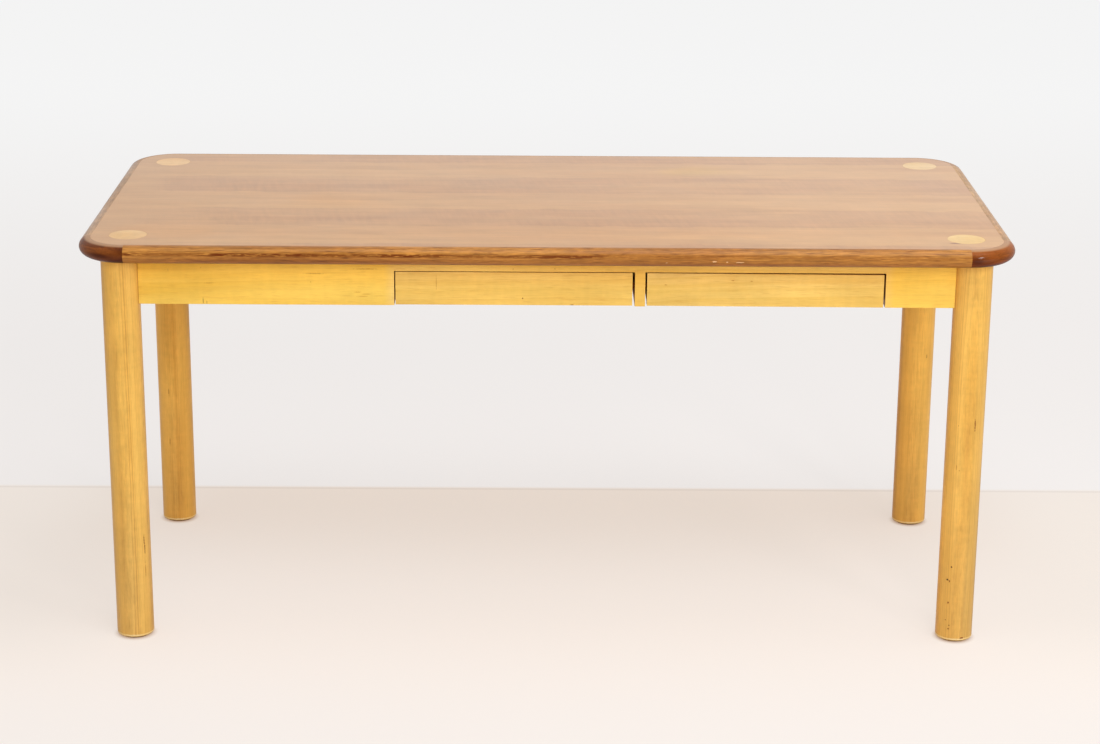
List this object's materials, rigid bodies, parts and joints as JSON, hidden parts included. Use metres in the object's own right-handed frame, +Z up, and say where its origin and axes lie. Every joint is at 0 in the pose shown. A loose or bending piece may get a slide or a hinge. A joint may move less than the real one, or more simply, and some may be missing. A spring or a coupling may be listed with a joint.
{
  "type": "writing desk",
  "caption": "Straight writing desk with a thick rounded-edge wooden top on round legs, and shallow drawers without pulls that slide out of the front apron, right of the middle.",
  "frame": {"origin": "on the floor, under the middle of the desk", "axes": "+X to the sitter's right along the length, -Y towards the sitter, +Z up"},
  "size_m": [1.6, 0.746, 0.73],
  "materials": {
    "top_veneer": "satin lacquer over fine straight-grained brown veneer",
    "lipping_wood": "satin lacquer over solid brown hardwood with dark streaks",
    "corner_wood": "glossy lacquer over dark reddish-brown end grain",
    "inlay_wood": "satin lacquer over pale maple",
    "leg_maple": "satin lacquer over aged maple",
    "apron_maple": "satin lacquer over aged yellow maple",
    "drawer_maple": "satin lacquer over pale maple",
    "drawer_box_wood": "plain sanded pale hardwood",
    "plywood": "plain sanded birch plywood",
    "glide_plastic": "matt dark plastic",
    "steel": "plain zinc-plated steel"
  },
  "bodies": {
    "desk": {"top_panel": "top_veneer", "back_lipping": "lipping_wood", "front_lipping": "lipping_wood", "left_lipping": "lipping_wood", "right_lipping": "lipping_wood", "front_left_corner_block": "corner_wood", "front_right_corner_block": "corner_wood", "back_right_corner_block": "corner_wood", "back_left_corner_block": "corner_wood", "front_left_inlay_disc": "inlay_wood", "front_right_inlay_disc": "inlay_wood", "back_right_inlay_disc": "inlay_wood", "back_left_inlay_disc": "inlay_wood", "front_left_leg": "leg_maple", "front_right_leg": "leg_maple", "back_right_leg": "leg_maple", "back_left_leg": "leg_maple", "front_left_glide": "glide_plastic", "front_right_glide": "glide_plastic", "back_right_glide": "glide_plastic", "back_left_glide": "glide_plastic", "front_left_corner_brace": "drawer_box_wood", "front_right_corner_brace": "drawer_box_wood", "back_right_corner_brace": "drawer_box_wood", "back_left_corner_brace": "drawer_box_wood", "front_left_leg_bolt": "steel", "front_right_leg_bolt": "steel", "back_right_leg_bolt": "steel", "back_left_leg_bolt": "steel", "front_apron": "apron_maple", "back_apron": "apron_maple", "left_apron": "apron_maple", "right_apron": "apron_maple", "front_button_1": "drawer_box_wood", "front_button_2": "drawer_box_wood", "back_button_1": "drawer_box_wood", "back_button_2": "drawer_box_wood", "left_button": "drawer_box_wood", "right_button": "drawer_box_wood", "left_guide_board": "drawer_box_wood", "centre_divider": "drawer_box_wood", "right_guide_board": "drawer_box_wood", "left_drawer_left_runner": "drawer_box_wood", "left_drawer_right_runner": "drawer_box_wood", "left_drawer_rear_stop": "drawer_box_wood", "left_drawer_hanging_stop": "drawer_box_wood", "right_drawer_left_runner": "drawer_box_wood", "right_drawer_right_runner": "drawer_box_wood", "right_drawer_rear_stop": "drawer_box_wood", "right_drawer_hanging_stop": "drawer_box_wood"},
    "left_drawer": {"left_drawer_front": "drawer_maple", "left_drawer_left_side": "drawer_box_wood", "left_drawer_right_side": "drawer_box_wood", "left_drawer_back": "drawer_box_wood", "left_drawer_bottom": "plywood"},
    "right_drawer": {"right_drawer_front": "drawer_maple", "right_drawer_left_side": "drawer_box_wood", "right_drawer_right_side": "drawer_box_wood", "right_drawer_back": "drawer_box_wood", "right_drawer_bottom": "plywood"}
  },
  "joints": [
    {"name": "left_drawer_slide", "type": "slide", "parent": "desk", "child": "left_drawer", "axis": [0, -1, 0], "range_m": [0, 0.38]},
    {"name": "right_drawer_slide", "type": "slide", "parent": "desk", "child": "right_drawer", "axis": [0, -1, 0], "range_m": [0, 0.38]}
  ]
}
